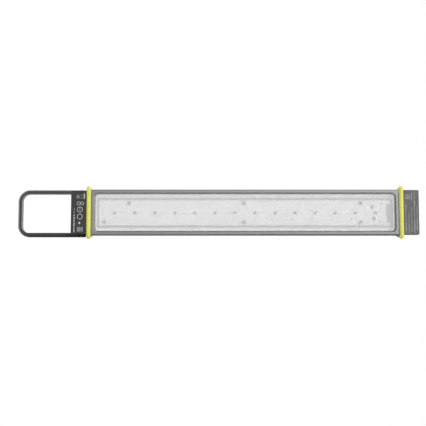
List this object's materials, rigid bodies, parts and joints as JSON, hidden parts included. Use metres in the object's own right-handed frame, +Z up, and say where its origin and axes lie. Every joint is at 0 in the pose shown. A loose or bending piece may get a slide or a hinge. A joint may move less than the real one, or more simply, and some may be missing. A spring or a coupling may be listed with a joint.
{
  "type": "work light",
  "caption": "Slim rechargeable LED bar work light: aluminium housing, long frosted lens, yellow bumper rings, dark end caps and a swinging loop handle.",
  "frame": {"origin": "middle of the aluminium housing: halfway along it, halfway across it and halfway through its depth", "axes": "+X along the bar towards the cap with the power button, the lens faces -Y, +Z up across the bar's width"},
  "size_m": [0.5876, 0.042, 0.0766],
  "materials": {
    "housing_aluminium": "satin anodised, fine lengthwise grain",
    "bezel_aluminium": "satin anodised, fine lengthwise grain",
    "frosted_lens": "frosted polycarbonate, softly diffusing",
    "black_rubber": "matt moulded rubber",
    "white_plastic": "matt white moulding",
    "board_white": "white solder mask",
    "led_white": "white ceramic package",
    "led_phosphor": "yellow phosphor",
    "chip_black": "black epoxy",
    "ivory_plastic": "ivory nylon",
    "bright_steel": "zinc plated",
    "thermal_pad": "soft grey-blue pad",
    "dark_aluminium": "dull mill finish",
    "cap_plastic": "fine spark-eroded texture, dark grey",
    "cap_plastic_grey": "fine spark-eroded texture, mid grey",
    "yellow_rubber": "matt lime-yellow elastomer",
    "black_steel": "black oxide",
    "handle_plastic": "glass-filled nylon, fine texture, dark grey",
    "bush_brass": "turned",
    "nylon": "natural nylon",
    "cell_wrap": "heat-shrink wrap over the steel can",
    "tray_plastic": "black moulding",
    "nickel": "nickel plated",
    "foam": "closed-cell foam",
    "board_green": "green solder mask",
    "clear_plastic": "clear acrylic",
    "yellow_button": "matt lime-yellow elastomer",
    "lead_red": "silicone insulation",
    "lead_black": "silicone insulation",
    "magnet_plating": "nickel-plated neodymium"
  },
  "bodies": {
    "lamp": {"rear_housing": "housing_aluminium", "front_bezel": "bezel_aluminium", "lens": "frosted_lens", "lens_gasket": "black_rubber", "reflector_frame": "white_plastic", "led_board": "board_white", "led_packages": "led_white", "led_phosphors": "led_phosphor", "board_drivers": "chip_black", "board_resistors": "chip_black", "board_connector": "ivory_plastic", "board_screws": "bright_steel", "board_locating_pins": "bright_steel", "thermal_pad": "thermal_pad", "heat_spreader": "dark_aluminium", "left_end_cap": "cap_plastic", "right_end_cap": "cap_plastic_grey", "left_bumper_ring": "yellow_rubber", "right_bumper_ring": "yellow_rubber", "left_end_gasket": "black_rubber", "right_end_gasket": "black_rubber", "left_cap_screws": "black_steel", "right_cap_screws": "black_steel", "handle_pivot_screws": "black_steel", "handle_friction_washers": "nylon", "battery_cells": "cell_wrap", "battery_tray": "tray_plastic", "battery_tabs": "nickel", "battery_foam_strips": "foam", "protection_board": "board_green", "control_board": "board_green", "control_components": "chip_black", "control_board_standoffs": "nylon", "control_board_screws": "bright_steel", "usb_c_socket": "nickel", "usb_c_tongue": "chip_black", "tactile_switch": "chip_black", "indicator_leds": "led_white", "indicator_light_pipe": "clear_plastic", "button_seal": "black_rubber", "port_cover_pin": "bright_steel", "battery_lead_red": "lead_red", "battery_lead_black": "lead_black", "led_lead_red": "lead_red", "led_lead_black": "lead_black", "rear_magnets": "magnet_plating", "magnet_covers": "black_rubber"},
    "handle": {"handle_loop": "handle_plastic", "handle_bushes": "bush_brass"},
    "button": {"power_button": "yellow_button"},
    "cover": {"port_cover": "black_rubber"}
  },
  "joints": [
    {"name": "handle_swing", "type": "hinge", "parent": "lamp", "child": "handle", "pos_m": [-0.24, 0.005, 0], "axis": [0, 0, -1], "range_deg": [0, 90]},
    {"name": "button_press", "type": "slide", "parent": "lamp", "child": "button", "axis": [-1, 0, 0], "range_m": [0, 0.0008]},
    {"name": "port_cover_swing", "type": "hinge", "parent": "lamp", "child": "cover", "pos_m": [0.2511, 0.01003, -0.009], "axis": [0, 0, 1], "range_deg": [0, 110]}
  ]
}
